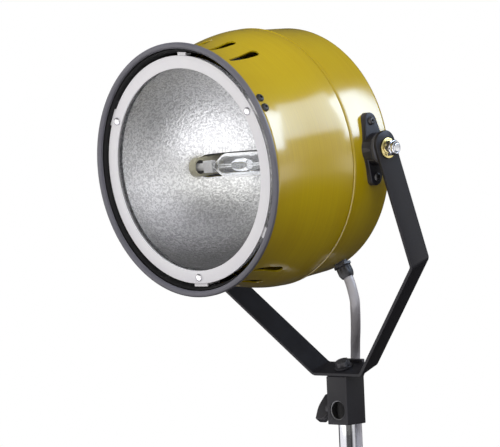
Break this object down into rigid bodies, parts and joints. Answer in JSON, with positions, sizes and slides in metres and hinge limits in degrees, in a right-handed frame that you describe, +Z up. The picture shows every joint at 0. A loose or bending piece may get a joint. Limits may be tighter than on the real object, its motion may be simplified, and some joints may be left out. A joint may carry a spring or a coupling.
{
  "type": "work light",
  "caption": "Drum-shaped flood work light with a hammered reflector behind glass, tilting in a forked yoke on a spigot receiver with a wing screw, cable hanging from its underside.",
  "frame": {"origin": "The centre of the stand's cut end, on the spigot's axis, 60 mm below the receiver block.", "axes": "+Z up along the stand; X parallel to the tilt axis, +X towards the lamp's left hand (the viewer's right when facing the lamp); the lamp shines towards -Y."},
  "size_m": [0.2856, 0.2359, 0.4258],
  "materials": {
    "gold_lacquer": "satin gold-olive lacquer",
    "black_lacquer": "satin black powder coat",
    "grey_lacquer": "semi-gloss dark grey",
    "black_steel": "blackened steel",
    "bright_aluminium": "hammered bright aluminium",
    "silver_ring": "satin silver",
    "bright_steel": "bright plated",
    "chrome_plate": "polished",
    "zinc_plate": "zinc plated",
    "yellow_zinc": "yellow passivated zinc",
    "clear_glass": "clear",
    "white_ceramic": "matt white",
    "grey_silicone": "matt grey",
    "black_fibre": "matt",
    "black_plastic": "satin black",
    "grey_sheath": "satin grey"
  },
  "bodies": {
    "stand": {"stand_tube": "chrome_plate"},
    "yoke": {"receiver_block": "black_lacquer", "yoke_bracket": "black_lacquer", "base_washer": "black_lacquer", "base_bolt": "black_steel", "arm_washer_right": "yellow_zinc", "arm_washer_left": "yellow_zinc", "friction_disc_right": "black_fibre", "friction_disc_left": "black_fibre", "cable_drop": "grey_sheath"},
    "wing": {"wing_screw": "zinc_plate", "wing_knob": "black_plastic"},
    "head": {"front_drum": "gold_lacquer", "rear_drum": "gold_lacquer", "rear_cover": "black_lacquer", "front_rim": "grey_lacquer", "light_baffle": "black_lacquer", "retaining_ring": "silver_ring", "glass_gasket": "grey_silicone", "front_glass": "clear_glass", "reflector": "bright_aluminium", "glass_clip_top": "bright_steel", "glass_clip_lower": "bright_steel", "ring_screw_1": "bright_steel", "ring_screw_2": "bright_steel", "ring_screw_3": "bright_steel", "ring_bracket_1": "bright_steel", "ring_bracket_2": "bright_steel", "ring_bracket_3": "bright_steel", "bracket_screw_1": "black_steel", "bracket_screw_2": "black_steel", "bracket_screw_3": "black_steel", "bracket_screw_4": "black_steel", "bracket_screw_5": "black_steel", "bracket_screw_6": "black_steel", "cover_screw_1": "black_steel", "cover_screw_2": "black_steel", "cover_screw_3": "black_steel", "cover_screw_4": "black_steel", "lamp_envelope": "clear_glass", "arc_tube": "white_ceramic", "lamp_bridge": "black_steel", "terminal_block": "white_ceramic", "cable_gland": "black_plastic", "gland_nut": "black_plastic", "cable_tail": "grey_sheath", "lamp_cap_right": "white_ceramic", "lamp_cap_left": "white_ceramic", "lampholder_right": "white_ceramic", "lampholder_left": "white_ceramic", "trunnion_flange_right": "black_lacquer", "trunnion_flange_left": "black_lacquer", "trunnion_stud_right": "zinc_plate", "trunnion_stud_left": "zinc_plate", "lock_nut_right": "zinc_plate", "lock_nut_left": "zinc_plate", "flange_screw_right_upper": "black_steel", "flange_screw_right_lower": "black_steel", "flange_screw_left_upper": "black_steel", "flange_screw_left_lower": "black_steel"}
  },
  "joints": [
    {"name": "pan", "type": "hinge", "parent": "stand", "child": "yoke", "pos_m": [0, 0, 0], "axis": [0, 0, 1], "continuous": true},
    {"name": "tilt", "type": "hinge", "parent": "yoke", "child": "head", "pos_m": [0, -0.0772, 0.31166], "axis": [1, 0, 0], "range_deg": [-70, 60]},
    {"name": "wing_screw_turn", "type": "hinge", "parent": "yoke", "child": "wing", "pos_m": [-0.02, 0, 0.0735], "axis": [1, 0, 0], "continuous": true}
  ]
}
